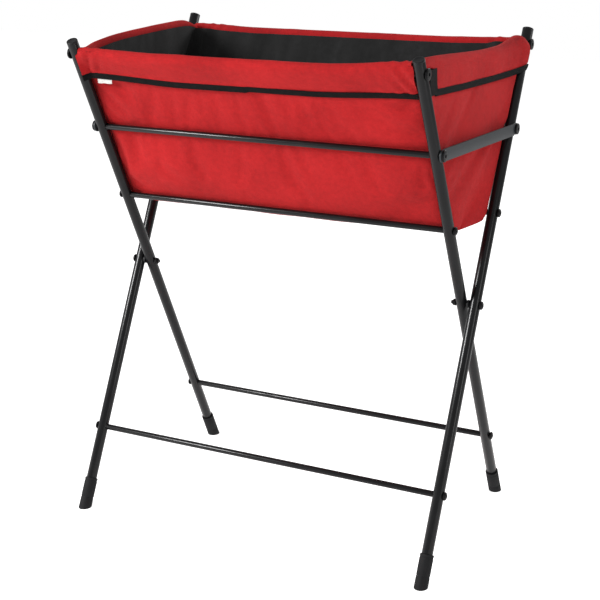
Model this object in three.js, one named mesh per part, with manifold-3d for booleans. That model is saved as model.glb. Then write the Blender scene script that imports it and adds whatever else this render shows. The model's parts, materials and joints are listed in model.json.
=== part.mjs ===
// Folding garden tool bag: an open-topped fabric trough hung between the rails of a scissor stand.
// Millimetres. X runs along the rails, -Y is the front, +Z is up, the floor is z = 0.
// The inner frame leans forward at its top, the outer frame leans back, and they cross at one axle.

import * as THREE from 'three';
import { mergeVertices } from 'three/addons/utils/BufferGeometryUtils.js';
import Module from 'manifold-3d';

const wasm = await Module();
wasm.setup();

// ---- Driving dimensions ----

const GAP = 0.3;              // clearance kept between touching pieces
const LEG_RADIUS = 9;
const LEG_WALL = 1.2;
const RAIL_RADIUS = 5;
const RAIL_BORE = 3.5;
const AXLE_Y = -2.1;
const AXLE_Z = 405;
const SIDE_SPACE = 4.4;       // between an inner leg and the outer leg beside it

const INNER_LEG_X = 296;
const OUTER_LEG_X = INNER_LEG_X + 2 * LEG_RADIUS + SIDE_SPACE;
const INNER_LEAN = THREE.MathUtils.degToRad(26.7);
const OUTER_LEAN = THREE.MathUtils.degToRad(26.0);
const INNER_TIP_Z = 810;
const OUTER_TIP_Z = 822;
const RAIL_Z = {
  inner: { top: 789, mid: 664, low: 538, bottom: 130 },
  outer: { top: 798, mid: 669, low: 542, bottom: 130 },
};

const CAP_THICK = 2.4;
const CAP_PLUG = 12;
const FOOT_RADIUS = 11;
const FOOT_LENGTH = 52;       // measured along the leg, from the floor
const FOOT_SOLE = 9;          // rubber under the tube's end

const SHANK_RADIUS = 3;
const SHANK_HOLE = 3.3;
const SHANK_LENGTH = 44;
const WIDE_HEAD = { radius: 9, thick: 3.4 };
const SMALL_HEAD = { radius: 6.8, thick: 4 };
const SOCKET_RADIUS = 2.9;    // hexagon corner radius of the key socket
const SOCKET_DEPTH = 2.2;
const NUT_RADIUS = 5.8;
const NUT_THICK = 5;
const THREAD_PROUD = 3.5;
const SPACER_RADIUS = 6.6;

const BAR_THICK = 3;
const BAR_HALF = 9.5;
const BAR_FLAT = 12.5;        // unbent length each side of a bar's bolt
const HOOK_HALF = 3.6;        // half the width of the slot that lifts off the rear bolt
const HOOK_ANGLE = THREE.MathUtils.degToRad(65.5);  // slot's slope below the bar's line
const HOOK_REACH = 20;

const CLOTH = 2.4;
const CLOTH_OFFSET = RAIL_RADIUS + 0.5;   // the cloth hangs just inside the rails
const BAG_HALF = { front: 283.5, rear: 304 };   // half widths: the rear legs stand further apart
const BAG_FLOOR_Z = 532.2;
const FLOOR_THICK = 2.4;
const FLOOR_HALF = { front: 290, rear: 296 };
const FLOOR_NOTCH = 12;
const HEM_HEIGHT = 47;
const TAPE_HEIGHT = 9;
const TAPE_THICK = 1.2;
const END_WALL_TOP = 804;
const END_HEM_TOP = 808;
const END_HEM_THICK = 3;
const END_HEM_X = { front: 288, rear: 326 };    // an end hem runs from inside one leg to round the next
const END_MARGIN = 1.8;       // keeps the ends clear of the round legs in front and behind
const TAG = { width: 27, height: 12, thick: 0.8, x: -258 };

// Arc steps per half turn.
const LEG_SEGMENTS = 12;
const SMALL_SEGMENTS = 8;
const HOLE_SEGMENTS = 5;

const LOOK = {
  tube: { color: 0x2d2e31, roughness: 0.42, metalness: 0.3 },
  bolt: { color: 0x303236, roughness: 0.35, metalness: 0.7 },
  bar: { color: 0x42464b, roughness: 0.38, metalness: 0.5 },
  plastic: { color: 0x1f2022, roughness: 0.6, metalness: 0 },
  rubber: { color: 0x18191a, roughness: 0.85, metalness: 0 },
  cloth: { color: 0xc5272d, roughness: 0.85, metalness: 0 },
  tape: { color: 0x1d1d1f, roughness: 0.8, metalness: 0 },
  tag: { color: 0xe6e3dc, roughness: 0.7, metalness: 0 },
};

// ---- Solids ----

function toSolid(geometry) {
  const bare = geometry.clone();
  bare.deleteAttribute('normal');
  bare.deleteAttribute('uv');
  const merged = mergeVertices(bare);
  return new wasm.Manifold(new wasm.Mesh({
    numProp: 3,
    vertProperties: merged.attributes.position.array,
    triVerts: new Uint32Array(merged.index.array),
  }));
}

function toGeometry(solid) {
  const mesh = solid.getMesh();
  const geometry = new THREE.BufferGeometry();
  geometry.setAttribute('position', new THREE.BufferAttribute(mesh.vertProperties, 3));
  geometry.setIndex(new THREE.BufferAttribute(mesh.triVerts, 1));
  return geometry;
}

function cut(geometry, ...tools) {
  return toGeometry(tools.reduce((body, tool) => body.subtract(toSolid(tool)), toSolid(geometry)));
}

function ring(outer, inner, length, segments) {
  const shape = new THREE.Shape().absarc(0, 0, outer, 0, 2 * Math.PI);
  if (inner > 0) shape.holes.push(new THREE.Path().absarc(0, 0, inner, 0, 2 * Math.PI, true));
  return new THREE.ExtrudeGeometry(shape, { depth: length, bevelEnabled: false, curveSegments: segments });
}

// A round bar or tube along X, centred on x.
function ringAlongX(outer, inner, length, segments, x = 0) {
  return ring(outer, inner, length, segments).translate(0, 0, -length / 2).rotateY(Math.PI / 2)
    .translate(x, 0, 0);
}

// A solid with a constant outline of [y, z] points, running along X from low to high.
function slab(outline, low, high) {
  const shape = new THREE.Shape(outline.map(([y, z]) => new THREE.Vector2(y, z)));
  const body = new THREE.ExtrudeGeometry(shape, { depth: high - low, bevelEnabled: false });
  return body.rotateZ(Math.PI / 2).rotateY(Math.PI / 2).translate(low, 0, 0);
}

function latheAlongX(profile, segments) {
  const points = profile.map(([radius, x]) => new THREE.Vector2(radius, x));
  return new THREE.LatheGeometry(points, segments).rotateZ(-Math.PI / 2);
}

// A bolt along X with its head's underside at x = 0 and its shank on the -X side.
function boltGeometry({ radius, thick }, shank) {
  const edge = thick * 0.35;
  const body = latheAlongX([
    [0, -shank], [SHANK_RADIUS, -shank], [SHANK_RADIUS, 0], [radius, 0],
    [radius, thick - edge], [radius - edge, thick], [0, thick],
  ], 2 * SMALL_SEGMENTS);
  const socket = new THREE.CylinderGeometry(SOCKET_RADIUS, SOCKET_RADIUS, 2 * SOCKET_DEPTH, 6)
    .rotateZ(Math.PI / 2).translate(thick, 0, 0);
  return cut(body, socket);
}

function nutGeometry() {
  const shape = new THREE.Shape();
  for (let corner = 0; corner < 6; corner += 1) {
    const angle = corner * Math.PI / 3;
    const method = corner === 0 ? 'moveTo' : 'lineTo';
    shape[method](NUT_RADIUS * Math.cos(angle), NUT_RADIUS * Math.sin(angle));
  }
  shape.holes.push(new THREE.Path().absarc(0, 0, SHANK_HOLE, 0, 2 * Math.PI, true));
  return new THREE.ExtrudeGeometry(shape, {
    depth: NUT_THICK, bevelEnabled: false, curveSegments: SMALL_SEGMENTS,
  }).rotateY(Math.PI / 2);
}

// ---- The scene graph ----

const group = new THREE.Group();

function addMesh(parent, name, geometry, look, x = 0, y = 0, z = 0) {
  const mesh = new THREE.Mesh(geometry, new THREE.MeshStandardMaterial(LOOK[look]));
  mesh.name = name;
  mesh.position.set(x, y, z);
  parent.add(mesh);
  return mesh;
}

const SIDES = [['left', -1], ['right', 1]];

// In a frame's own axes, z runs up the legs from the axle, and `inward` is the side the bag hangs on.
const FRAMES = {
  inner: {
    legX: INNER_LEG_X, lean: INNER_LEAN, tilt: 1, inward: 1, tipZ: INNER_TIP_Z,
    topRailZ: RAIL_Z.inner.top,
  },
  outer: {
    legX: OUTER_LEG_X, lean: OUTER_LEAN, tilt: -1, inward: -1, tipZ: OUTER_TIP_Z,
    topRailZ: RAIL_Z.outer.top,
  },
};

function frameGroup(frame) {
  const parent = new THREE.Group();
  parent.position.set(0, AXLE_Y, AXLE_Z);
  parent.rotation.x = frame.tilt * frame.lean;
  group.add(parent);
  return parent;
}

// How far along a leg from the axle the height z lies.
function alongLeg(frame, z) {
  return (z - AXLE_Z) / Math.cos(frame.lean);
}

// Where a leg's centre line is, front to back, at the height z.
function legY(frame, z) {
  return AXLE_Y - frame.tilt * (z - AXLE_Z) * Math.tan(frame.lean);
}

function legGeometry(frame, stations) {
  const low = alongLeg(frame, 0) + FOOT_SOLE;
  const high = alongLeg(frame, frame.tipZ) - CAP_THICK;
  const tube = ring(LEG_RADIUS, LEG_RADIUS - LEG_WALL, high - low, LEG_SEGMENTS).translate(0, 0, low);
  const holes = stations.map((station) => (
    ringAlongX(SHANK_HOLE, 0, 3 * LEG_RADIUS, HOLE_SEGMENTS).translate(0, 0, station)));
  return cut(tube, ...holes);
}

function footGeometry(frame) {
  const floor = alongLeg(frame, 0);
  const bore = ring(LEG_RADIUS + GAP, 0, FOOT_LENGTH, LEG_SEGMENTS).translate(0, 0, floor + FOOT_SOLE - GAP);
  const ground = new THREE.BoxGeometry(100, 100, 100).translate(0, 0, -50)
    .rotateX(-frame.tilt * frame.lean).translate(0, 0, floor);
  const boot = ring(FOOT_RADIUS, 0, FOOT_LENGTH + FOOT_SOLE, LEG_SEGMENTS)
    .translate(0, 0, floor - FOOT_SOLE);
  return cut(boot, bore, ground);
}

function capGeometry() {
  const plug = LEG_RADIUS - LEG_WALL - GAP;
  return new THREE.LatheGeometry([
    [0, -CAP_PLUG], [plug, -CAP_PLUG], [plug, GAP], [LEG_RADIUS, GAP],
    [LEG_RADIUS, CAP_THICK - 0.8], [LEG_RADIUS - 0.8, CAP_THICK], [0, CAP_THICK],
  ].map(([radius, z]) => new THREE.Vector2(radius, z)), 2 * LEG_SEGMENTS).rotateX(Math.PI / 2);
}

// A rail's ends are cut to sit against the round legs.
function railGeometry(frame) {
  const tube = ringAlongX(RAIL_RADIUS, RAIL_BORE, 2 * (frame.legX - RAIL_BORE), SMALL_SEGMENTS);
  const saddles = SIDES.map(([, side]) => (
    ring(LEG_RADIUS + GAP, 0, 6 * RAIL_RADIUS, LEG_SEGMENTS)
      .translate(side * frame.legX, 0, -3 * RAIL_RADIUS)));
  return cut(tube, ...saddles);
}

function headOf(place) {
  return place === 'top' || place === 'mid' ? WIDE_HEAD : SMALL_HEAD;
}

// Head's underside above the leg's outer face: the mid bolts also clamp the brace bars.
function headLift(place) {
  return place === 'mid' ? BAR_THICK + 2 * GAP : GAP;
}

function turnToSide(mesh, side) {
  mesh.rotation.z = side < 0 ? Math.PI : 0;
}

function addFrame(name, frame) {
  const parent = frameGroup(frame);
  const rails = Object.entries(RAIL_Z[name]).map(([place, z]) => [place, alongLeg(frame, z)]);
  const leg = legGeometry(frame, [0, ...rails.map(([, station]) => station)]);
  const rail = railGeometry(frame);
  for (const [sideName, side] of SIDES) {
    const x = side * frame.legX;
    addMesh(parent, `${name}_leg_${sideName}`, leg, 'tube', x);
    addMesh(parent, `${name}_foot_${sideName}`, footGeometry(frame), 'rubber', x);
    addMesh(parent, `${name}_cap_${sideName}`, capGeometry(), 'plastic', x, 0,
      alongLeg(frame, frame.tipZ) - CAP_THICK);
    for (const [place, station] of rails) {
      const head = x + side * (LEG_RADIUS + headLift(place));
      const geometry = boltGeometry(headOf(place), SHANK_LENGTH + headLift(place));
      const bolt = addMesh(parent, `${name}_${place}_bolt_${sideName}`, geometry, 'bolt', head, 0, station);
      turnToSide(bolt, side);
    }
  }
  for (const [place, station] of rails) {
    addMesh(parent, `${name}_${place}_rail`, rail, 'tube', 0, 0, station);
  }
  return parent;
}

// ---- Axle hardware ----

function addAxle() {
  const nutFace = INNER_LEG_X - LEG_RADIUS - GAP;
  const headFace = OUTER_LEG_X + LEG_RADIUS + GAP;
  const shank = headFace - nutFace + NUT_THICK + THREAD_PROUD;
  for (const [sideName, side] of SIDES) {
    const bolt = addMesh(group, `axle_bolt_${sideName}`, boltGeometry(SMALL_HEAD, shank), 'bolt',
      side * headFace, AXLE_Y, AXLE_Z);
    turnToSide(bolt, side);
    const spacer = ringAlongX(SPACER_RADIUS, SHANK_HOLE, SIDE_SPACE - 2 * GAP, SMALL_SEGMENTS);
    addMesh(group, `axle_spacer_${sideName}`, spacer, 'plastic',
      side * (INNER_LEG_X + LEG_RADIUS + SIDE_SPACE / 2), AXLE_Y, AXLE_Z);
    const nut = addMesh(group, `axle_nut_${sideName}`, nutGeometry(), 'bolt',
      side * (nutFace - NUT_THICK), AXLE_Y, AXLE_Z);
    turnToSide(nut, side);
  }
}

// ---- Brace bars ----

// A flat bar from the inner leg's outer face back to the outer leg's outer face. Its front end turns
// on the inner mid bolt, and its rear end hooks over the outer mid bolt through an open slot.
function braceGeometry(span) {
  const inner = INNER_LEG_X + LEG_RADIUS + GAP;
  const outer = OUTER_LEG_X + LEG_RADIUS + GAP;
  const tail = 2 * BAR_HALF;
  const face = [[-tail, inner], [BAR_FLAT, inner], [span - BAR_FLAT, outer], [span + tail, outer]];
  const far = face.map(([s, x]) => [s, x + BAR_THICK]).reverse();
  const plan = new THREE.Shape([...face, ...far].map(([s, x]) => new THREE.Vector2(x, s)));
  const strip = new THREE.ExtrudeGeometry(plan, { depth: 4 * BAR_HALF, bevelEnabled: false })
    .translate(0, 0, -2 * BAR_HALF);

  const side = new THREE.Shape();
  side.absarc(0, 0, BAR_HALF, Math.PI / 2, 1.5 * Math.PI);
  side.absarc(span, 0, BAR_HALF, -Math.PI / 2, Math.PI / 2);
  const eye = new THREE.Path().absarc(0, 0, SHANK_HOLE, 0, 2 * Math.PI, true);
  side.holes.push(eye);
  const depth = 2 * (outer - inner);
  const blank = new THREE.ExtrudeGeometry(side, {
    depth, bevelEnabled: false, curveSegments: LEG_SEGMENTS,
  }).rotateZ(Math.PI / 2).rotateY(Math.PI / 2).translate(inner - depth / 4, 0, 0);

  const hook = new THREE.Shape();
  hook.absarc(0, 0, HOOK_HALF, 0, Math.PI);
  hook.lineTo(-HOOK_HALF, -HOOK_REACH);
  hook.lineTo(HOOK_HALF, -HOOK_REACH);
  const slot = new THREE.ExtrudeGeometry(hook, {
    depth: 4 * BAR_HALF, bevelEnabled: false, curveSegments: SMALL_SEGMENTS,
  }).translate(0, 0, -2 * BAR_HALF).rotateZ(Math.PI / 2).rotateY(Math.PI / 2)
    .rotateX(HOOK_ANGLE - Math.PI / 2).translate(outer, span, 0);
  return toGeometry(toSolid(strip).intersect(toSolid(blank)).subtract(toSolid(slot)));
}

function mirrorX(geometry) {
  const flipped = geometry.clone().applyMatrix4(new THREE.Matrix4().makeScale(-1, 1, 1));
  const index = flipped.index.array;
  for (let corner = 0; corner < index.length; corner += 3) {
    [index[corner + 1], index[corner + 2]] = [index[corner + 2], index[corner + 1]];
  }
  return flipped;
}

function addBraces() {
  const front = legY(FRAMES.inner, RAIL_Z.inner.mid);
  const run = legY(FRAMES.outer, RAIL_Z.outer.mid) - front;
  const rise = RAIL_Z.outer.mid - RAIL_Z.inner.mid;
  const right = braceGeometry(Math.hypot(run, rise)).rotateX(Math.atan2(rise, run));
  addMesh(group, 'brace_bar_right', right, 'bar', 0, front, RAIL_Z.inner.mid);
  addMesh(group, 'brace_bar_left', mirrorX(right), 'bar', 0, front, RAIL_Z.inner.mid);
}

// ---- Bag ----

// Height above the axle, along a leg, of the wall's lower edge.
function wallFoot(frame) {
  return (BAG_FLOOR_Z + 2 * GAP - AXLE_Z - CLOTH_OFFSET * Math.sin(frame.lean)) / Math.cos(frame.lean);
}

// A long wall hangs behind the rails; its hem folds forward over the top rail and back to the wall.
function addLongWall(name, parent, frame) {
  const rail = alongLeg(frame, frame.topRailZ);
  const near = CLOTH_OFFSET;
  const far = CLOTH_OFFSET + CLOTH;
  const crest = rail + far;
  const hemFoot = crest - HEM_HEIGHT;
  const flip = ([y, z]) => [frame.inward * y, z];
  const width = [-BAG_HALF[name], BAG_HALF[name]];
  const wall = [[near, wallFoot(frame)], [far, wallFoot(frame)], [far, crest], [near, crest]];
  addMesh(parent, `bag_${name}_wall`, slab(wall.map(flip), ...width), 'cloth');
  const lip = near - GAP;
  const hem = [
    [lip - CLOTH, hemFoot], [lip, hemFoot], [-near, rail], [-near * 0.7, rail + near * 0.75],
    [0, rail + near], [lip, rail + near], [lip, crest], [-near * 0.4, crest],
    [-far * 0.8, rail + far * 0.72], [-far, rail],
  ];
  addMesh(parent, `bag_${name}_hem`, slab(hem.map(flip), ...width), 'cloth');
  const tapeTop = hemFoot - GAP;
  const tape = [
    [lip - TAPE_THICK, tapeTop - TAPE_HEIGHT], [lip, tapeTop - TAPE_HEIGHT],
    [lip, tapeTop], [lip - TAPE_THICK, tapeTop],
  ];
  addMesh(parent, `bag_${name}_tape`, slab(tape.map(flip), ...width), 'tape');
  return { tapeTop, lip };
}

// How far front to back the space between the long walls reaches at a height, less a margin.
function wallY(frame, z, margin) {
  const depth = CLOTH_OFFSET + CLOTH + margin;
  return legY(frame, z) + frame.inward * depth / Math.cos(frame.lean);
}

function endOutline(low, high, margin) {
  const { inner, outer } = FRAMES;
  return [
    [wallY(inner, low, margin), low], [wallY(outer, low, margin), low],
    [wallY(outer, high, margin), high], [wallY(inner, high, margin), high],
  ];
}

// Leans a slab's X with Y, so that it meets x = front and x = rear at the bag's two top edges.
function flare(geometry, { front, rear }) {
  const low = wallY(FRAMES.inner, END_WALL_TOP, END_MARGIN);
  const high = wallY(FRAMES.outer, END_WALL_TOP, END_MARGIN);
  const slope = (rear - front) / (high - low);
  const shear = new THREE.Matrix4().makeShear(0, 0, slope, 0, 0, 0);
  return toGeometry(toSolid(geometry.translate(0, -low, 0).applyMatrix4(shear).translate(front, low, 0)));
}

function addEnds() {
  const hemFoot = END_HEM_TOP - HEM_HEIGHT;
  const tapeTop = hemFoot - GAP;
  const wall = endOutline(BAG_FLOOR_Z + 2 * GAP, END_WALL_TOP, END_MARGIN);
  const hem = endOutline(hemFoot, END_HEM_TOP, END_MARGIN);
  const tape = endOutline(tapeTop - TAPE_HEIGHT, tapeTop, END_MARGIN);
  const parts = [
    ['end', 'cloth', flare(slab(wall, -CLOTH, 0), BAG_HALF)],
    ['hem', 'cloth', flare(slab(hem, 0, END_HEM_THICK), END_HEM_X)],
    ['tape', 'tape', flare(slab(tape, 0, TAPE_THICK), END_HEM_X)],
  ];
  for (const [part, look, right] of parts) {
    addMesh(group, `bag_right_${part}`, right, look);
    addMesh(group, `bag_left_${part}`, mirrorX(right), look);
  }
}

// The floor's front corners are cut back behind the inner legs.
function addFloor() {
  const front = wallY(FRAMES.inner, BAG_FLOOR_Z, -CLOTH);
  const rear = wallY(FRAMES.outer, BAG_FLOOR_Z, -CLOTH);
  const right = [
    [BAG_HALF.front, front], [FLOOR_HALF.front, front + FLOOR_NOTCH], [FLOOR_HALF.rear, rear],
  ];
  const left = right.map(([x, y]) => [-x, y]).reverse();
  const plan = new THREE.Shape([...right, ...left].map(([x, y]) => new THREE.Vector2(x, y)));
  const plate = new THREE.ExtrudeGeometry(plan, { depth: FLOOR_THICK, bevelEnabled: false });
  addMesh(group, 'bag_floor', plate, 'cloth', 0, 0, BAG_FLOOR_Z - FLOOR_THICK);
}

const innerGroup = addFrame('inner', FRAMES.inner);
const outerGroup = addFrame('outer', FRAMES.outer);
addAxle();
addBraces();
const frontSeam = addLongWall('front', innerGroup, FRAMES.inner);
addLongWall('rear', outerGroup, FRAMES.outer);
addEnds();
addFloor();

// The blank care tag is sewn under the front tape.
const tagTop = frontSeam.tapeTop - TAPE_HEIGHT - GAP;
addMesh(innerGroup, 'care_tag', new THREE.BoxGeometry(TAG.width, TAG.thick, TAG.height), 'tag',
  TAG.x, frontSeam.lip - TAG.thick, tagTop - TAG.height / 2);

export default group;
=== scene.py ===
"""Looks of a folding garden tool bag: a cloth trough hung in a scissor stand of black tube."""
import json
import math
from contextlib import contextmanager

import bmesh
import bpy
import numpy as np
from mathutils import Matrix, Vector, noise


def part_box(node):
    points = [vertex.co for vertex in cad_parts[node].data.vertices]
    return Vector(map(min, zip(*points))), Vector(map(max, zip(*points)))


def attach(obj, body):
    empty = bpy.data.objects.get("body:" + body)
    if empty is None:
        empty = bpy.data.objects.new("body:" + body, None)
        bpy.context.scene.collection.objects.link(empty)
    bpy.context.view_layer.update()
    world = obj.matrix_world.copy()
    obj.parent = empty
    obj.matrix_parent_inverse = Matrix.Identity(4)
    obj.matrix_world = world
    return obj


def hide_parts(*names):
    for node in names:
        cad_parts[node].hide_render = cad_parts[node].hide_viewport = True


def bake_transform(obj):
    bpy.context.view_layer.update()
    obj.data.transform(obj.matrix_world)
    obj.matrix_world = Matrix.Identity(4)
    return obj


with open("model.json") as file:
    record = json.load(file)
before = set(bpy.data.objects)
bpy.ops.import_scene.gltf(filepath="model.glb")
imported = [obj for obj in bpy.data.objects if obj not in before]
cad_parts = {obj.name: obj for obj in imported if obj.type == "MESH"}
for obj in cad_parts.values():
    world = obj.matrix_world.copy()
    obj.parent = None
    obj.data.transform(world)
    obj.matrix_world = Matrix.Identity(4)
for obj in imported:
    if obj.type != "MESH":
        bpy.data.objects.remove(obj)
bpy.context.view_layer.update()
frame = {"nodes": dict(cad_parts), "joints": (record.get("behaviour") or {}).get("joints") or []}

MM = 0.001


# ---------------------------------------------------------------- the frame's own geometry


def unit(v):
    return v / np.linalg.norm(v)


def coords_of(piece):
    co = np.empty(len(piece.data.vertices) * 3, np.float32)
    piece.data.vertices.foreach_get("co", co)
    return co.reshape(-1, 3).astype(float)


def box_centre(node):
    low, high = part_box(node)
    return np.array((low + high) / 2)


def box_size(node):
    low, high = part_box(node)
    return np.array(high - low)


def tube_ends(node):
    """Lower and upper centre of a long round node with square-cut ends."""
    pts = coords_of(frame["nodes"][node])
    axis = np.linalg.svd(pts - pts.mean(0), full_matrices=False)[2][0]
    axis = axis * math.copysign(1, axis[2])
    along = pts @ axis
    near = 1 * MM
    return pts[along < along.min() + near].mean(0), pts[along > along.max() - near].mean(0)


AXLE = np.array(next(j for j in frame["joints"] if j["name"] == "fold")["pos_m"])
TUBE_R = box_size("inner_leg_right")[0] / 2
RAIL_R = box_size("inner_top_rail")[1] / 2


class LegPlane:
    """A leg frame's plane. `up` runs along its legs from the axle; `inward` points into the bag."""

    def __init__(self, name, facing):
        low, high = tube_ends(f"{name}_leg_right")
        self.name = name
        self.leg_x = high[0]
        self.up = unit(high - low)
        self.inward = facing * np.array([0, self.up[2], -self.up[1]])
        self.rail = {
            place: float((box_centre(f"{name}_{place}_rail") - AXLE) @ self.up)
            for place in ("top", "mid", "low", "bottom")
        }

    def at(self, x, reach, depth):
        """The point `reach` up the legs and `depth` inside their plane, at x."""
        point = AXLE + self.up * reach + self.inward * depth
        return np.array([x, point[1], point[2]])

    def reach_of(self, z, depth=0.0):
        """How far up the legs the height z is, in the plane moved inward by `depth`."""
        return (z - AXLE[2] - depth * self.inward[2]) / self.up[2]

    def y_at(self, z, depth=0.0):
        """Where the plane moved inward by `depth` is, front to back, at the height z."""
        return self.at(0, self.reach_of(z, depth), depth)[1]


INNER = LegPlane("inner", 1)
OUTER = LegPlane("outer", -1)

# ---------------------------------------------------------------- materials


class Nodes:
    """A small helper that adds and links shader nodes of one material."""

    def __init__(self, name):
        self.material = bpy.data.materials.new(name)
        self.material.use_nodes = True
        self.tree = self.material.node_tree
        self.shader = self.tree.nodes["Principled BSDF"]
        self.coords = self.add("ShaderNodeTexCoord", {})

    def feed(self, socket, value):
        """Links the socket to another node's output, or sets its own value."""
        if isinstance(value, bpy.types.NodeSocket):
            self.tree.links.new(value, socket)
        else:
            socket.default_value = value

    def add(self, kind, inputs, **settings):
        node = self.tree.nodes.new(kind)
        for key, value in settings.items():
            setattr(node, key, value)
        for key, value in inputs.items():
            self.feed(node.inputs[key], value)
        return node

    def scaled(self, vector, scale):
        mapping = self.add("ShaderNodeMapping", {"Vector": vector, "Scale": scale})
        return mapping.outputs["Vector"]

    def noise(self, vector, scale, detail=3.0, roughness=0.55):
        inputs = {"Vector": vector, "Scale": scale, "Detail": detail, "Roughness": roughness}
        return self.add("ShaderNodeTexNoise", inputs).outputs["Fac"]

    def wave(self, vector, scale, direction):
        inputs = {"Vector": vector, "Scale": scale, "Distortion": 0.25, "Detail": 1.0}
        return self.add("ShaderNodeTexWave", inputs, bands_direction=direction).outputs["Fac"]

    def math(self, operation, a, b):
        return self.add("ShaderNodeMath", {0: a, 1: b}, operation=operation).outputs["Value"]

    def ramp(self, factor, stops):
        node = self.add("ShaderNodeValToRGB", {"Fac": factor})
        elements = node.color_ramp.elements
        while len(elements) < len(stops):
            elements.new(0.5)
        for element, (place, colour) in zip(elements, stops):
            element.position = place
            element.color = (*colour, 1)
        return node.outputs["Color"]

    def bump(self, height, strength, distance, **under):
        inputs = {"Height": height, "Strength": strength, "Distance": distance, **under}
        return self.add("ShaderNodeBump", inputs).outputs["Normal"]

    def rough(self, factor, low, high):
        inputs = {"Value": factor, "To Min": low, "To Max": high}
        self.set(Roughness=self.add("ShaderNodeMapRange", inputs).outputs["Result"])

    def set(self, **inputs):
        for key, value in inputs.items():
            self.feed(self.shader.inputs[key.replace("_", " ")], value)


def cloth_material(name, deep, middle, bright, sheen, thread=900.0, crumple=0.12,
                   sheen_tint=(1, 1, 1, 1)):
    """Plain-woven cloth: crossed threads, soft creases, mottled tone and a fine grain."""
    n = Nodes(name)
    uv = n.coords.outputs["UV"]
    where = n.coords.outputs["Object"]
    weave = n.math("MULTIPLY", n.wave(uv, thread, "X"), n.wave(uv, thread, "Y"))
    slow = n.noise(where, 9.0, 4.0)
    grain = n.noise(where, 420.0, 2.0)
    mottle = n.noise(where, 130.0, 3.0)
    tone = n.math("ADD", n.math("MULTIPLY", slow, 0.45), n.math("MULTIPLY", grain, 0.25))
    tone = n.math("ADD", tone, n.math("MULTIPLY", mottle, 0.30))
    n.set(Base_Color=n.ramp(tone, [(0.3, deep), (0.52, middle), (0.74, bright)]))
    n.rough(grain, 0.78, 0.95)
    height = n.math("ADD", n.math("MULTIPLY", weave, 0.6), n.math("MULTIPLY", grain, 0.4))
    creases = n.bump(n.noise(n.scaled(where, (1.0, 1.0, 0.7)), 9.0, 2.0, 0.45), crumple, 0.04)
    fine = n.bump(height, 0.35, 0.0004, Normal=creases)
    n.set(Normal=n.bump(mottle, 0.22, 0.0012, Normal=fine), Specular_IOR_Level=0.2,
          Sheen_Weight=sheen, Sheen_Roughness=0.5, Sheen_Tint=sheen_tint)
    return n.material


def tape_material(name):
    """Grosgrain binding: ribs across the tape."""
    n = Nodes(name)
    ribs = n.wave(n.coords.outputs["UV"], 330.0, "X")
    dust = n.noise(n.coords.outputs["Object"], 160.0)
    n.rough(dust, 0.7, 0.9)
    n.set(Base_Color=n.ramp(dust, [(0.3, (0.002, 0.002, 0.002)), (0.7, (0.007, 0.007, 0.007))]),
          Normal=n.bump(ribs, 0.5, 0.0004), Sheen_Weight=0.02, Sheen_Roughness=0.4,
          Specular_IOR_Level=0.1)
    return n.material


def coated_material(name, dark, light, rough, bump=0.12, scale=700.0, shine=0.25, gloss=0.0):
    """Powder coat or moulding: fine orange peel, uneven gloss and a slight change of tone."""
    n = Nodes(name)
    where = n.coords.outputs["Object"]
    slow = n.noise(where, 22.0, 5.0, 0.6)
    peel = n.noise(where, scale, 2.0)
    mixed = n.math("ADD", n.math("MULTIPLY", slow, 0.6), n.math("MULTIPLY", peel, 0.4))
    n.rough(mixed, rough[0], rough[1])
    n.set(Base_Color=n.ramp(slow, [(0.32, dark), (0.7, light)]), Normal=n.bump(peel, bump, 0.0004),
          Specular_IOR_Level=shine, Coat_Weight=gloss, Coat_Roughness=0.1)
    return n.material


MATERIALS = {
    "red": cloth_material(
        "red_cloth", (0.28, 0.006, 0.008), (0.42, 0.010, 0.012), (0.55, 0.016, 0.018), 0.04,
        crumple=0.17, sheen_tint=(1.0, 0.45, 0.4, 1)),
    "lining": cloth_material(
        "black_lining", (0.006, 0.006, 0.006), (0.011, 0.011, 0.011), (0.022, 0.022, 0.023), 0.15,
        thread=700.0, crumple=0.6),
    "tape": tape_material("binding_tape"),
    "tag": cloth_material(
        "care_tag_ribbon", (0.62, 0.61, 0.58), (0.74, 0.73, 0.70), (0.82, 0.81, 0.78), 0.1,
        thread=1400.0),
    "paint": coated_material(
        "black_powder_coat", (0.0035, 0.0035, 0.004), (0.007, 0.007, 0.008), (0.24, 0.36),
        shine=0.18, gloss=0.22),
    "bolt": coated_material(
        "black_bolt_finish", (0.003, 0.003, 0.0035), (0.007, 0.007, 0.008), (0.25, 0.4),
        shine=0.15),
    "bar": coated_material(
        "grey_bar_coat", (0.024, 0.027, 0.030), (0.034, 0.038, 0.042), (0.4, 0.55), scale=450.0,
        shine=0.3),
    "plastic": coated_material(
        "black_plastic", (0.007, 0.007, 0.008), (0.014, 0.014, 0.015), (0.42, 0.6), scale=900.0),
    "rubber": coated_material(
        "black_rubber", (0.007, 0.007, 0.008), (0.013, 0.013, 0.014), (0.6, 0.85), bump=0.3,
        scale=500.0),
}

# ---------------------------------------------------------------- mesh building


def mesh_object(name, vertices, faces, look, smooth=True, uvs=None):
    mesh = bpy.data.meshes.new(name)
    mesh.from_pydata([tuple(v) for v in vertices], [], faces)
    if uvs is not None:
        layer = mesh.uv_layers.new(name="UVMap")
        for loop in mesh.loops:
            layer.data[loop.index].uv = uvs[loop.vertex_index]
    mesh.validate()
    mesh.polygons.foreach_set("use_smooth", [smooth] * len(mesh.polygons))
    piece = bpy.data.objects.new(name, mesh)
    bpy.context.scene.collection.objects.link(piece)
    piece.data.materials.append(MATERIALS[look])
    return piece


@contextmanager
def edited(mesh):
    bm = bmesh.new()
    bm.from_mesh(mesh)
    yield bm
    bm.to_mesh(mesh)
    bm.free()


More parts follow.
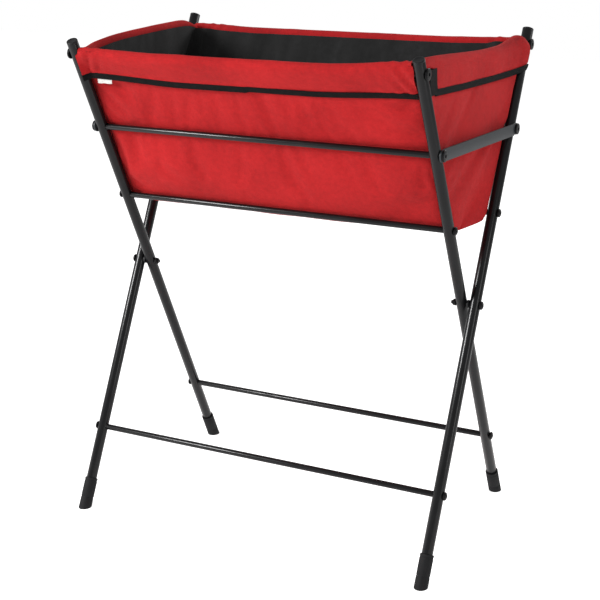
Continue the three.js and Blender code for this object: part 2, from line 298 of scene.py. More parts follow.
def modified(piece, kind, **settings):
    """Adds one modifier with the settings given, and makes its result the piece's own mesh."""
    modifier = piece.modifiers.new(kind.lower(), kind)
    for key, value in settings.items():
        setattr(modifier, key, value)
    dg = bpy.context.evaluated_depsgraph_get()
    mesh = bpy.data.meshes.new_from_object(piece.evaluated_get(dg))
    old = piece.data
    piece.modifiers.clear()
    piece.data = mesh
    bpy.data.meshes.remove(old)


def bevel(piece, width, segments, angle):
    modified(piece, "BEVEL", width=width, segments=segments, limit_method="ANGLE",
             angle_limit=math.radians(angle), harden_normals=False)


def shade(piece, sharp_angle=None):
    """Smooth shading, broken where the surface turns by more than the sharp angle in degrees."""
    piece.data.polygons.foreach_set("use_smooth", [True] * len(piece.data.polygons))
    if sharp_angle:
        piece.data.set_sharp_from_angle(angle=math.radians(sharp_angle))


def grid_faces(rows, columns, closed=False):
    """Quads of a rows by columns grid of vertices, wrapping round the columns where closed."""
    last = columns if closed else columns - 1
    return [
        (r * columns + c, r * columns + (c + 1) % columns,
         (r + 1) * columns + (c + 1) % columns, (r + 1) * columns + c)
        for r in range(rows - 1) for c in range(last)
    ]


def side_vectors(axis):
    """The unit axis and two unit vectors square to it and to each other."""
    axis = unit(np.asarray(axis, float))
    helper = np.array([1.0, 0, 0]) if abs(axis[0]) < 0.9 else np.array([0, 0, 1.0])
    u = unit(np.cross(axis, helper))
    return axis, u, np.cross(axis, u)


def lathe(name, start, axis, profile, look, segments=40):
    """A turned piece: profile is (radius, distance along the axis from start), closed at both ends."""
    axis, u, v = side_vectors(axis)
    vertices = []
    for radius, along in profile:
        for k in range(segments):
            turn = 2 * math.pi * k / segments
            spoke = (u * math.cos(turn) + v * math.sin(turn)) * radius
            vertices.append(start + axis * along + spoke)
    rows = len(profile)
    faces = grid_faces(rows, segments, closed=True)
    faces.append(tuple(reversed(range(segments))))
    faces.append(tuple(range((rows - 1) * segments, rows * segments)))
    piece = mesh_object(name, vertices, faces, look)
    outward(piece)
    piece.data.set_sharp_from_angle(angle=math.radians(50))
    return piece


def outward(piece):
    """Makes the normals of a closed piece point out."""
    with edited(piece.data) as bm:
        bmesh.ops.recalc_face_normals(bm, faces=bm.faces)


def stand_for(piece, node, body):
    """The piece takes the node's place, and moves with the body."""
    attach(piece, body)
    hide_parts(node)
    return piece


# ---------------------------------------------------------------- the metal frame

BODY = {"inner": "inner_frame", "outer": "outer_frame"}
SIDES = {"left": -1, "right": 1}
EDGE = 0.6 * MM              # how far a tube's cut ends are rounded


def make_tube(node, start, end, radius, body):
    length = float(np.linalg.norm(end - start))
    profile = [
        (radius - EDGE, 0), (radius - 0.3 * EDGE, 0.3 * EDGE), (radius, EDGE),
        (radius, length - EDGE), (radius - 0.3 * EDGE, length - 0.3 * EDGE), (radius - EDGE, length),
    ]
    piece = lathe(f"{node}_tube", start, end - start, profile, "paint", 48)
    return stand_for(piece, node, body)


def make_rail(node, leg_x, body):
    """A rail that ends inside the near wall of each leg."""
    centre = box_centre(node)
    reach = np.array([leg_x - 0.4 * TUBE_R, 0, 0])
    return make_tube(node, centre - reach, centre + reach, RAIL_R, body)


def make_cap(node, plane, body):
    """A flat-topped plug with a rolled rim and a shallow dish."""
    tube_top = tube_ends(node.replace("cap", "leg"))[1]
    r = TUBE_R
    thick = 2.6 * MM
    profile = [
        (r - 2 * MM, -2 * MM), (r - 0.2 * MM, -0.2 * MM), (r + 0.05 * MM, 0.3 * MM),
        (r + 0.05 * MM, thick - 1.1 * MM), (r - 0.3 * MM, thick - 0.4 * MM),
        (r - 1.1 * MM, thick), (r - 2.2 * MM, thick), (r - 2.9 * MM, thick - 0.5 * MM),
        (0.4 * MM, thick - 0.5 * MM),
    ]
    piece = lathe(f"{node}_plug", tube_top, plane.up, profile, "plastic", 48)
    return stand_for(piece, node, body)


def make_foot(node, plane, body):
    """A rubber ferrule with a rolled lip, two grip grooves and a level sole."""
    low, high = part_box(node)
    radius = float(high[0] - low[0]) / 2
    sole = np.array([(low[0] + high[0]) / 2, plane.y_at(0.0), 0.0])
    top = float(high[2] - radius * abs(plane.up[1])) / plane.up[2]
    groove = 0.5 * MM
    profile = [
        (TUBE_R - 0.5 * MM, top - 1 * MM), (TUBE_R + 0.6 * MM, top - 0.2 * MM),
        (radius - 0.6 * MM, top), (radius, top - 0.8 * MM), (radius, top - 4 * MM),
        (radius - groove, top - 4.6 * MM), (radius - groove, top - 5.6 * MM),
        (radius, top - 6.2 * MM), (radius, 19 * MM), (radius - groove, 18.2 * MM),
        (radius - groove, 17 * MM), (radius, 16.2 * MM), (radius, 0), (radius, -8 * MM),
        (0.5 * MM, -8 * MM),
    ]
    piece = lathe(f"{node}_ferrule", sole, plane.up, profile, "rubber", 48)
    with edited(piece.data) as bm:
        result = bmesh.ops.bisect_plane(
            bm, geom=bm.verts[:] + bm.edges[:] + bm.faces[:], plane_co=(0, 0, 0),
            plane_no=(0, 0, -1), clear_outer=True)
        rim = [e for e in result["geom_cut"] if isinstance(e, bmesh.types.BMEdge)]
        bmesh.ops.edgeloop_fill(bm, edges=rim)
    outward(piece)
    bevel(piece, 1.2 * MM, 3, 35)
    shade(piece)
    return stand_for(piece, node, body)


def hex_socket(piece, centre, axis, across, depth):
    """Cuts a six-sided key socket into a head."""
    axis, u, v = side_vectors(axis)
    corners = []
    for lift in (-depth, depth):
        for k in range(6):
            turn = math.pi * k / 3
            corners.append(centre + axis * lift + (u * math.cos(turn) + v * math.sin(turn)) * across)
    faces = grid_faces(2, 6, closed=True) + [tuple(reversed(range(6))), tuple(range(6, 12))]
    cutter = mesh_object("socket_cutter", corners, faces, "bolt", smooth=False)
    outward(cutter)
    modified(piece, "BOOLEAN", operation="DIFFERENCE", solver="EXACT", object=cutter)
    bpy.data.objects.remove(cutter)
    piece.data.set_sharp_from_angle(angle=math.radians(40))


def make_bolt(node, body):
    """A socket-head bolt: the shank in the frame, and a crowned head with a rounded rim outside."""
    low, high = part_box(node)
    centre = box_centre(node)
    side = math.copysign(1, centre[0])
    outer = max(abs(low[0]), abs(high[0]))
    inner = min(abs(low[0]), abs(high[0]))
    radius = float(high[1] - low[1]) / 2
    wide = radius > 8 * MM
    thick = 3.4 * MM if wide else 4.0 * MM
    face = np.array([side * (outer - thick), centre[1], centre[2]])
    axis = np.array([side, 0, 0])
    length = outer - thick - inner
    shank = 3 * MM
    crown = 0.5 * MM if wide else 1.3 * MM
    profile = [
        (shank - 0.6 * MM, -length), (shank, -length + 0.6 * MM), (shank, -0.3 * MM),
        (radius - 0.7 * MM, -0.3 * MM), (radius, 0.4 * MM), (radius, thick - crown - 0.7 * MM),
        (radius - 0.25 * MM, thick - crown - 0.2 * MM), (radius - 0.9 * MM, thick - crown + 0.1 * MM),
        (radius * 0.72, thick - 0.3 * crown), (radius * 0.5, thick), (0.3 * MM, thick),
    ]
    piece = lathe(f"{node}_turned", face, axis, profile, "bolt", 36)
    hex_socket(piece, face + axis * thick, axis, 2.9 * MM, 2.3 * MM)
    return stand_for(piece, node, body)


def refined(node, body, look, width):
    """A CAD node's own shape with merged corners and softened edges."""
    mesh = frame["nodes"][node].data.copy()
    piece = bpy.data.objects.new(f"{node}_worked", mesh)
    bpy.context.scene.collection.objects.link(piece)
    with edited(mesh) as bm:
        bmesh.ops.remove_doubles(bm, verts=bm.verts, dist=0.01 * MM)
        bmesh.ops.dissolve_limit(bm, angle_limit=math.radians(1), verts=bm.verts, edges=bm.edges)
    if mesh.has_custom_normals:
        mesh.attributes.remove(mesh.attributes["custom_normal"])
    mesh.materials.clear()
    mesh.materials.append(MATERIALS[look])
    bevel(piece, width, 2, 30)
    shade(piece, 35)
    return stand_for(piece, node, body)


def make_frame():
    for plane in (INNER, OUTER):
        body = BODY[plane.name]
        for place in plane.rail:
            make_rail(f"{plane.name}_{place}_rail", plane.leg_x, body)
        for side in SIDES:
            leg = f"{plane.name}_leg_{side}"
            make_tube(leg, *tube_ends(leg), TUBE_R, body)
            make_cap(f"{plane.name}_cap_{side}", plane, body)
            make_foot(f"{plane.name}_foot_{side}", plane, body)
            for place in plane.rail:
                make_bolt(f"{plane.name}_{place}_bolt_{side}", body)
    for side in SIDES:
        make_bolt(f"axle_bolt_{side}", "inner_frame")
        refined(f"axle_nut_{side}", "inner_frame", "bolt", 0.5 * MM)
        refined(f"axle_spacer_{side}", "inner_frame", "plastic", 0.3 * MM)
        refined(f"brace_bar_{side}", f"brace_{side}", "bar", 0.5 * MM)


# ---------------------------------------------------------------- the bag's shell

BAG_TOP = 0.776              # the shell ends inside the hems, which hang over it
BAG_FOLD = 0.5430            # where the walls start to turn under
BAG_FLOOR = 0.5350
FLOOR_SAG = 3.0 * MM         # the floor hangs lower at the two ends
WALL_BEHIND = RAIL_R + 0.7 * MM
WALL_SWELL = 3.0 * MM
SEWN_DOWN = 0.738            # above this the wall lies flat behind its binding
DRAWN_FROM = 0.722           # above this the ends draw in to their binding
HALF_TOP = {"front": 0.2965, "rear": 0.3185}     # half the length of each wall
HALF_FLOOR = {"front": 0.2950, "rear": 0.3150}
LEG_CLEAR = 1.0 * MM         # left between the cloth and the legs
CORNER_TOP, CORNER_FLOOR = 6 * MM, 7 * MM
LONG_STEPS, END_STEPS, CORNER_STEPS = 76, 38, 5
WALL_ROWS, TURN_ROWS, FLOOR_ROWS = 32, 4, 7
NEARLY_HALF = 0.46           # of the width between the walls, so that two sides never meet
LINING_GAP = 2.6 * MM        # between the two cloths
LINING_FOLDS = 3.0 * MM      # how deep the lining's own wrinkles are
LINING_DROP = 9.5 * MM       # below the crest of the hems
LINING_DEPTH = 9.2 * MM      # inside the leg planes
LINING_SHOWS = 1.6 * MM      # inside the end hems' inner face
SPARE_CLOTH = 0.013          # share by which the cloth is longer than its walls
SETTLE_FRAMES = 24
MOST_SHIFT = 8 * MM          # no point settles further than this


def smooth(t):
    t = min(max(t, 0.0), 1.0)
    return t * t * (3 - 2 * t)


def mix(a, b, t):
    return a + (b - a) * t


def curve(points, t):
    """A smooth curve through points, t from 0 to 1 along it."""
    pts = np.asarray(points, float)
    spans = len(pts) - 1
    k = min(int(t * spans), spans - 1)
    f = t * spans - k
    p0 = pts[k - 1] if k > 0 else 2 * pts[0] - pts[1]
    p3 = pts[k + 2] if k + 2 <= spans else 2 * pts[-1] - pts[-2]
    p1, p2 = pts[k], pts[k + 1]
    return 0.5 * (2 * p1 + (p2 - p0) * f + (2 * p0 - 5 * p1 + 4 * p2 - p3) * f * f
                  + (3 * p1 - p0 - 3 * p2 + p3) * f ** 3)


def wall_depth(plane, z):
    """How far inside the leg plane the cloth's outer face is: tight behind the rails, full between."""
    tight = [SEWN_DOWN] + [box_centre(f"{plane.name}_{place}_rail")[2] for place in ("mid", "low")]
    for upper, lower in zip(tight, tight[1:]):
        if lower <= z <= upper:
            return WALL_BEHIND - WALL_SWELL * math.sin(math.pi * (z - lower) / (upper - lower)) ** 1.5
    return WALL_BEHIND


def outline(z, inset=0.0):
    """The shell's outline at the height z: front wall, right end, rear wall, left end."""
    t = (BAG_TOP - z) / (BAG_TOP - BAG_FLOOR)
    front = INNER.y_at(z, wall_depth(INNER, z)) + inset
    rear = OUTER.y_at(z, wall_depth(OUTER, z)) - inset
    half_front = mix(HALF_TOP["front"], HALF_FLOOR["front"], t) - inset
    half_rear = mix(HALF_TOP["rear"], HALF_FLOOR["rear"], t) - inset
    radius = min(mix(CORNER_TOP, CORNER_FLOOR, t), NEARLY_HALF * (rear - front))
    corners = [np.array(c) for c in (
        (-half_front, front), (half_front, front), (half_rear, rear), (-half_rear, rear))]
    points = []
    for k, steps in enumerate((LONG_STEPS, END_STEPS, LONG_STEPS, END_STEPS)):
        here, there, after = corners[k], corners[(k + 1) % 4], corners[(k + 2) % 4]
        ahead = unit(there - here)
        start, stop = here + ahead * radius, there - ahead * radius
        points += [mix(start, stop, i / steps) for i in range(steps + 1)]
        leave = there + unit(after - there) * radius
        for i in range(1, CORNER_STEPS):
            f = i / CORNER_STEPS
            points.append((1 - f) ** 2 * stop + 2 * f * (1 - f) * there + f * f * leave)
    return points


def hang(x, z):
    """How much lower the bottom of the bag is near its ends."""
    return FLOOR_SAG * smooth((abs(x) - 0.215) / 0.07) * smooth((BAG_FOLD + 0.03 - z) / 0.03)


def clear_of_legs(co, gap):
    """Moves every point that is inside a leg straight out of it, plus a gap."""
    for plane in (INNER, OUTER):
        for side in SIDES.values():
            away = co - np.array([side * plane.leg_x, AXLE[1], AXLE[2]])
            away -= np.outer(away @ plane.up, plane.up)
            far = np.linalg.norm(away, axis=1, keepdims=True)
            co = co + away / far * np.clip(TUBE_R + gap - far, 0, None)
    return co


def under_hem(co, layer):
    """Draws the top of the ends in, to pass behind the end hems and their binding."""
    co = co.copy()
    share = np.interp(co[:, 1], [p[1] for p in END_OUTER], np.linspace(0, 1, len(END_OUTER)))
    for i, t in enumerate(share):
        if co[i, 2] < DRAWN_FROM:
            continue
        (outer, _), (inner, _) = curve(END_OUTER, t), curve(END_INNER, t)
        most = mix(outer, inner, 0.20) - 2.4 * MM - layer
        x = abs(co[i, 0])
        pull = smooth((co[i, 2] - DRAWN_FROM) / 0.030) * smooth((co[i, 1] + 0.160) / 0.025)
        co[i, 0] = math.copysign(mix(x, min(x, most), pull), co[i, 0])
    return co


def shell_rings(layer=0.0):
    """Rings of points from the top of the wall to the middle of the floor, `layer` inside the cloth."""
    rings = []
    for r in range(WALL_ROWS):
        z = mix(BAG_TOP, BAG_FOLD, r / (WALL_ROWS - 1))
        rings.append([(x, y, z) for x, y in outline(z, layer)])
    drop = BAG_FOLD - BAG_FLOOR
    turn_in = drop * 0.8
    for r in range(1, TURN_ROWS + 1):
        turn = math.pi / 2 * r / TURN_ROWS
        z = BAG_FOLD - drop * math.sin(turn)
        inset = turn_in * (1 - math.cos(turn)) + layer
        rings.append([(x, y, z + layer * math.sin(turn)) for x, y in outline(z, inset)])
    inner_most = NEARLY_HALF * (OUTER.y_at(BAG_FLOOR) - INNER.y_at(BAG_FLOOR))
    for r in range(1, FLOOR_ROWS + 1):
        f = r / FLOOR_ROWS
        inset = mix(turn_in + layer, inner_most, f)
        z = BAG_FLOOR - 2 * MM * smooth(f) + layer
        rings.append([(x, y, z) for x, y in outline(BAG_FLOOR, inset)])
    return [[(x, y, z - hang(x, z)) for x, y, z in ring] for ring in rings]


def shell_mesh(layer=0.0):
    """The open tub's points, faces and texture coordinates, and the points in each ring."""
    rings = shell_rings(layer)
    columns = len(rings[0])
    vertices = np.array([p for ring in rings for p in ring])
    faces = grid_faces(len(rings), columns, closed=True)
    base = (len(rings) - 1) * columns
    side = LONG_STEPS + CORNER_STEPS + END_STEPS + CORNER_STEPS
    front = [base + i for i in range(LONG_STEPS + 1)]
    rear = [base + side + i for i in range(LONG_STEPS + 1)][::-1]
    faces += [(front[i], front[i + 1], rear[i + 1], rear[i]) for i in range(LONG_STEPS)]
    faces.append(tuple(range(front[-1], rear[-1] + 1)))
    faces.append(tuple(list(range(rear[0], base + columns)) + [front[0]]))
    faces = [tuple(reversed(f)) for f in faces]
    uvs = []
    run = np.zeros(columns)
    top = np.array(rings[0])
    run[1:] = np.cumsum(np.linalg.norm(np.diff(top, axis=0), axis=1))
    down = 0.0
    for r, ring in enumerate(rings):
        if r:
            down += float(np.linalg.norm(np.array(ring[0]) - np.array(rings[r - 1][0])))
        uvs += [(u, -down) for u in run]
    vertices = clear_of_legs(under_hem(vertices, layer), LEG_CLEAR + layer)
    return vertices, faces, uvs, columns


def set_coords(piece, co):
    piece.data.vertices.foreach_set("co", np.asarray(co, np.float32).ravel())
    piece.data.update()


def wobble(point, size, seed):
    """Smooth noise in three directions, about -1 to 1."""
    p = Vector(point) / size
    return np.array([noise.noise(p + Vector((seed, axis * 7.3, 1.7))) for axis in range(3)])


def collider(node, radius, low, high):
    """A plain rod that the settling cloth can't pass."""
    length = float(np.linalg.norm(high - low))
    body = lathe(f"push_{node}", low, high - low, [(radius, 0), (radius, length)], "paint", 12)
    body.modifiers.new("collision", "COLLISION")
    body.collision.thickness_outer = 1 * MM
    return body


def settle(piece, hold):
    """Lets the cloth settle with a little spare length, and returns how far each point moved."""
    rest = coords_of(piece)
    group = piece.vertex_groups.new(name="hold")
    for index, weight in enumerate(hold):
        group.add([index], float(weight), "REPLACE")
    blocks = []
    for plane in (INNER, OUTER):
        for rail in (f"{plane.name}_mid_rail", f"{plane.name}_low_rail"):
            centre, half = box_centre(rail), np.array([box_size(rail)[0] / 2, 0, 0])
            blocks.append(collider(rail, RAIL_R, centre - half, centre + half))
        for leg in (f"{plane.name}_leg_{side}" for side in SIDES):
            blocks.append(collider(leg, TUBE_R, *tube_ends(leg)))
    modifier = piece.modifiers.new("cloth", "CLOTH")
    cloth = modifier.settings
    cloth.quality = 6
    cloth.mass = 0.12
    cloth.tension_stiffness = cloth.compression_stiffness = 22
    cloth.shear_stiffness = 8
    cloth.bending_stiffness = 0.6
    cloth.air_damping = 3
    cloth.shrink_min = cloth.shrink_max = -SPARE_CLOTH
    cloth.vertex_group_mass = "hold"
    cloth.pin_stiffness = 1.0
    cloth.effector_weights.gravity = 0.35
    modifier.collision_settings.distance_min = 1 * MM
    modifier.collision_settings.use_self_collision = False
    modifier.point_cache.frame_start = 1
    modifier.point_cache.frame_end = SETTLE_FRAMES
    scene = bpy.context.scene
    for step in range(1, SETTLE_FRAMES + 1):
        scene.frame_set(step)
    dg = bpy.context.evaluated_depsgraph_get()
    shift = coords_of(piece.evaluated_get(dg)) - rest
    far = np.linalg.norm(shift, axis=1, keepdims=True)
    print("cloth moved", round(float(far.max()) * 1000, 2), "mm at most,",
          round(float(far.mean()) * 1000, 2), "mm on average")
    shift *= np.minimum(1, MOST_SHIFT / np.maximum(far, 1e-9))
    piece.modifiers.clear()
    piece.vertex_groups.clear()
    scene.frame_set(1)
    for block in blocks:
        bpy.data.objects.remove(block)
    return shift


def ride_fold(piece):
    """Bakes the piece's transform into its mesh; the points it then reads, measured from the axle, are
    not used.
    """
    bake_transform(piece)
    co = coords_of(piece) - AXLE


def plane_line(plane, co):
    """Where a leg plane is, front to back, at the height of each point."""
    return np.array([plane.y_at(z) for z in co[:, 2]])


PULLS = (                    # creases of the front wall: from x, z to x, z, half width, depth
    (-0.262, 0.742, -0.175, 0.716, 0.0095, 0.0052),
    (-0.275, 0.728, -0.235, 0.690, 0.0080, 0.0040),
    (0.272, 0.742, 0.222, 0.700, 0.0095, 0.0045),
    (-0.286, 0.575, -0.255, 0.548, 0.0085, 0.0050),
    (-0.200, 0.600, -0.120, 0.556, 0.0140, 0.0034),
    (0.280, 0.640, 0.245, 0.560, 0.0110, 0.0036),
    (0.020, 0.735, 0.045, 0.680, 0.0130, 0.0026))


def pulled(point):
    """How deep the creases press the front wall in at a point."""
    total = 0.0
    here = np.array([point[0], point[2]])
    for x0, z0, x1, z1, width, depth in PULLS:
        start, along = np.array([x0, z0]), np.array([x1 - x0, z1 - z0])
        f = float(np.clip((here - start) @ along / (along @ along), 0, 1))
        away = here - start - f * along
        beside = float(along[0] * away[1] - along[1] * away[0]) / float(np.linalg.norm(along))
        far = float(np.linalg.norm(away))
        fade = math.sin(math.pi * (0.15 + 0.85 * (1 - f)) / 2) ** 2
        valley = math.exp(-(far / width) ** 2)
        ridge = math.exp(-((far - 1.7 * width) / width) ** 2) * (0.6 if beside > 0 else 0.3)
        total += depth * fade * (valley - ridge)
    return total * (1 - smooth((abs(point[0]) - 0.262) / 0.018))


def crease_shell(shell, columns):
    """Makes the walls a little uneven below their top edge, and presses in the front creases."""
    co = coords_of(shell)
    for i in range(columns * 2, len(co)):
        co[i] = co[i] + wobble(co[i], 0.06, 2.0) * 1.0 * MM
        if co[i, 1] < INNER.y_at(co[i, 2]) + 0.014:
            co[i] += INNER.inward * pulled(co[i])
    set_coords(shell, co)
    return co


def hold_weights(rest, columns):
    """How firmly each point of the shell is held as it settles, from 0 to 1."""
    loose, sewn, cornered, fixed, turned = 0.03, 0.5, 0.35, 1.0, 0.2
    hold = np.full(len(rest), loose)
    hold[rest[:, 2] > SEWN_DOWN] = sewn
    from_walls = np.minimum(
        rest[:, 1] - plane_line(INNER, rest), plane_line(OUTER, rest) - rest[:, 1])
    hold[(np.abs(rest[:, 0]) > 0.27) & (from_walls < 0.025)] = cornered
    hold[:columns * 2] = fixed
    fold = columns * (WALL_ROWS - 1)
    hold[fold:fold + columns * TURN_ROWS] = turned
    return hold


def wrinkle_lining(co):
    """Moves the lining's walls inward by uneven amounts, least near the corners."""
    middle_y = co.mean(axis=0)[1]
    for i, point in enumerate(co):
        x, y, z = point
        if z < BAG_FOLD:
            continue
        where = np.array([x, y, z * 0.3])
        fold = wobble(where, 0.035, 11.0)[0] + 0.5 * wobble(where, 0.014, 15.0)[0]
        near_corner = min(1, abs(abs(x) - HALF_TOP["front"]) / 0.03 + 0.15)
        inward = np.array([0, middle_y - y, 0]) if abs(x) < 0.28 else np.array([-x, 0, 0])
        co[i] = point + unit(inward) * LINING_FOLDS * near_corner * (0.8 + fold)
    return co


def make_shell():
    """The red outside and the dark lining, which settle together."""
    vertices, faces, uvs, columns = shell_mesh()
    shell = mesh_object("bag_shell", vertices, faces, "red", uvs=uvs)
    rest = crease_shell(shell, columns)
    shift = np.zeros_like(rest)
    shift = settle(shell, hold_weights(rest, columns))
    set_coords(shell, clear_of_legs(rest + shift, 0.6 * LEG_CLEAR))
    vertices, faces, uvs, columns = shell_mesh(LINING_GAP)
    lining = mesh_object("bag_lining", vertices, faces, "lining", uvs=uvs)
    inside = wrinkle_lining(coords_of(lining) + shift)
    set_coords(lining, clear_of_legs(inside, LINING_GAP + 1.4 * MM))
    for piece in (shell, lining):
        modified(piece, "SUBSURF", levels=1, render_levels=1)
    lift_lining(lining)
    for piece in (shell, lining):
        ride_fold(piece)
    return shell, lining


def lift_lining(lining):
    """Carries the top of the lining up inside the hems' rolled edges."""
    co = coords_of(lining)
    band = 0.045
    for i, (x, y, z) in enumerate(co):
        t = smooth((z - (BAG_TOP - band)) / band)
        if t <= 0:
            continue
        side = math.copysign(1, x)
        share = float(np.interp(y, [p[1] for p in END_INNER], np.linspace(0, 1, len(END_INNER))))
        plane = INNER if y < 0 else OUTER
        long_top = plane.up[2] * (long_crest(plane, x)[0] - LINING_DROP) + AXLE[2]
        end_top = end_crest(share, side) - LINING_DROP
        top = mix(long_top, end_top, smooth((abs(x) - 0.255) / 0.025))
        z += t * (top - BAG_TOP)
        lean = plane.up[1] / plane.up[2]
        y += t * (top - BAG_TOP) * lean * (1 - smooth((abs(x) - 0.255) / 0.025))
        wall = float(curve(END_INNER, share)[0]) - LINING_SHOWS
        x = mix(x, side * min(abs(x), wall), t)
        front = INNER.y_at(z, LINING_DEPTH)
        rear = OUTER.y_at(z, LINING_DEPTH)
        co[i] = (x, mix(y, min(max(y, front), rear), t), z)
    set_coords(lining, co)


# ---------------------------------------------------------------- the bag's hems

HEM_STATIONS, HEM_COLUMNS = 110, 44
TAPE_TALL = 9 * MM
CLOTH_THICK = 1.5 * MM
TAPE_THICK = 1.2 * MM
LONG_SECTION = (             # depth inside the leg plane, drop below the crest, along the legs
    (1.4, 46.5), (-0.4, 41), (-2.8, 34), (-5.4, 26), (-7.4, 18), (-8.3, 11), (-7.2, 5), (-4.0, 1.4),
    (0.2, 0), (4.2, 2.0), (7.2, 5.6), (8.2, 9.6), (7.4, 13), (5.6, 20))
END_SECTION = (              # share of the way from the outer to the inner face, drop below the crest
    (0.10, 47.5), (0.04, 41), (0.0, 32), (-0.04, 22), (-0.02, 12), (0.10, 4.6), (0.30, 0.8),
    (0.52, 0), (0.76, 1.0), (0.94, 4.4), (0.98, 8.6), (0.88, 14), (0.72, 22))
END_OUTER = (                # plan of the hem's outer face, right end, from front to rear
    (0.2850, -0.1965), (0.2945, -0.175), (0.2975, -0.150), (0.3000, -0.100), (0.3030, -0.050),
    (0.3062, 0.000), (0.3108, 0.050), (0.3160, 0.100), (0.3225, 0.140), (0.3285, 0.160),
    (0.3318, 0.1735))
END_INNER = (                # the same of its inner face
    (0.2700, -0.1955), (0.2800, -0.167), (0.2868, -0.145), (0.2878, -0.100), (0.2900, -0.050),
    (0.2925, 0.000), (0.2955, 0.050), (0.2985, 0.100), (0.3010, 0.138), (0.3018, 0.160),
    (0.2980, 0.1795))
END_CREST = {                # height of the crest, from front to rear
    "right": (
        0.8050, 0.8080, 0.8090, 0.8075, 0.8052, 0.8032, 0.8026, 0.8042, 0.8110, 0.8145, 0.8075),
    "left": (
        0.7985, 0.8005, 0.8040, 0.8095, 0.8125, 0.8142, 0.8155, 0.8162, 0.8160, 0.8135, 0.8060),
}
END_EDGE = (                 # height of the flap's lower edge, from front to rear
    0.7560, 0.7580, 0.7600, 0.7592, 0.7585, 0.7583, 0.7588, 0.7598, 0.7620, 0.7648, 0.7665)
MOUTH = 0.222                # share of the end hem's length in front of its outer flap
LONG_HALF = 0.2860           # where the long hems' end creases gather
LAP_HALF = 0.2915            # how far the front hem's flap reaches over the left leg
LAPPED_SHARE, FLAP_SHARE = 0.40, 0.55        # of a long hem's section: lapped, and in the flap
# A dark sheet in each sleeve mouth: the real black inside of the sleeve, drawn darker than the lining
# as painted shade
SHADE_FACING_ROWS, SHADE_FACING_COLUMNS = 12, 8
SHADE_FACING_X, SHADE_FACING_Y = (0.2988, 0.2965), (-0.170, -0.134)      # from its front to its rear edge
SHADE_FACING_Z = (0.754, 0.792)    # from its lower to its upper edge


def hem_sheet(name, rows, look="red"):
    """A thin sheet through rows of points, with texture coordinates in metres."""
    count, columns = len(rows), len(rows[0])
    vertices = [p for row in rows for p in row]
    uvs, along = [], 0.0
    for r, row in enumerate(rows):
        if r:
            along += float(np.linalg.norm(row[columns // 2] - rows[r - 1][columns // 2]))
        across = 0.0
        for c in range(columns):
            if c:
                across += float(np.linalg.norm(row[c] - row[c - 1]))
            uvs.append((along, across))
    return mesh_object(name, vertices, grid_faces(count, columns), look, uvs=uvs)


def thicken(piece, thickness, inside=None):
    """Gives a sheet its thickness, on the side away from its normals; `inside` is that side's look."""
    if inside:
        piece.data.materials.append(MATERIALS[inside])
    modified(piece, "SOLIDIFY", thickness=thickness, offset=-1, use_even_offset=False,
             material_offset=1 if inside else 0)
    shade(piece, 60)


def facing_out(piece, centre):
    """Turns the sheet so that its normals point away from centre."""
    co = coords_of(piece)
    total = 0.0
    for face in piece.data.polygons:
        mid = co[list(face.vertices)].mean(0)
        total += float(np.dot(face.normal, mid - centre)) * face.area
    if total < 0:
        piece.data.flip_normals()


def long_crest(plane, x):
    """How far up the legs a long hem's crest and its flap's lower edge are."""
    if plane is INNER:
        crest = 0.7955 + (0.0040 if x < 0 else 0.0105) * smooth((abs(x) - 0.10) / 0.20) ** 1.5
        edge = 0.7498 + 0.0068 * smooth((abs(x) - 0.11) / 0.17)
    else:
        crest = 0.8043 + 0.0030 * smooth((abs(x) - 0.18) / 0.12)
        edge = 0.7570 + 0.0030 * smooth((abs(x) - 0.18) / 0.12)
    return plane.reach_of(crest), plane.reach_of(edge)


def in_front_of_leg(x):
    """The depth that cloth needs to lie over the front of the left inner leg."""
    reach = TUBE_R + 0.6 * MM + CLOTH_THICK
    return -math.sqrt(max(reach ** 2 - (INNER.leg_x + x) ** 2, 0)) if x < 0 else 1.0


def long_hem_rows(plane):
    """A long hem, rolled over its rail; the front one's flap laps over the left leg."""
    rows = []
    reach = TUBE_R + 0.5 * MM + CLOTH_THICK
    for s in range(HEM_STATIONS):
        row = []
        for c in range(HEM_COLUMNS):
            depth, drop = curve(LONG_SECTION, c / (HEM_COLUMNS - 1)) * MM
            half = plane.leg_x - math.sqrt(max(reach ** 2 - depth ** 2, 0.16 * reach ** 2))
            lapped = plane is INNER and c < HEM_COLUMNS * LAPPED_SHARE
            x = mix(-(LAP_HALF if lapped else half), half, s / (HEM_STATIONS - 1))
            crest, edge = long_crest(plane, x)
            stretch = (crest - edge) / (LONG_SECTION[0][1] * MM)
            if c < HEM_COLUMNS * FLAP_SHARE:
                drop *= mix(stretch, 1, smooth(c / (HEM_COLUMNS * FLAP_SHARE)))
            pull = math.exp(-((abs(x) - LONG_HALF + 0.013) / 0.024) ** 2)
            crease = 2.0 * MM * pull * math.sin((abs(x) - drop * 0.45) / 0.0033)
            lump = wobble((x, drop * 0.6, plane.up[1]), 0.055, 4.0)[0] * 1.3 * MM
            fine = wobble((x, drop * 0.5, plane.up[1]), 0.018, 9.0)[1] * 0.45 * MM
            swell = (lump + fine + crease) * (1 if 0.02 < c / HEM_COLUMNS < 0.9 else 0.3)
            direction = -1 if c < HEM_COLUMNS * 0.5 else 1
            depth += direction * swell
            if lapped:
                depth = min(depth, in_front_of_leg(x))
            row.append(plane.at(x, crest - drop + abs(swell) * 0.3, depth))
        rows.append(row)
    return rows


def long_tape_rows(plane, rows):
    """The binding below the flap: it starts just under the flap's edge."""
    tape = []
    for row in rows:
        x = row[0][0]
        _, edge = long_crest(plane, x)
        sway = wobble((x, 0, plane.up[1]), 0.07, 21.0)[0] * 0.5 * MM
        most = in_front_of_leg(x) - 0.6 * MM if plane is INNER else 1.0
        tape.append([
            plane.at(x, edge - down * MM + sway, min(depth * MM, most))
            for down, depth in ((-1.5, -0.6), (2.0, 0.2), (5.5, 1.0), (9.0, 2.0))])
    return tape


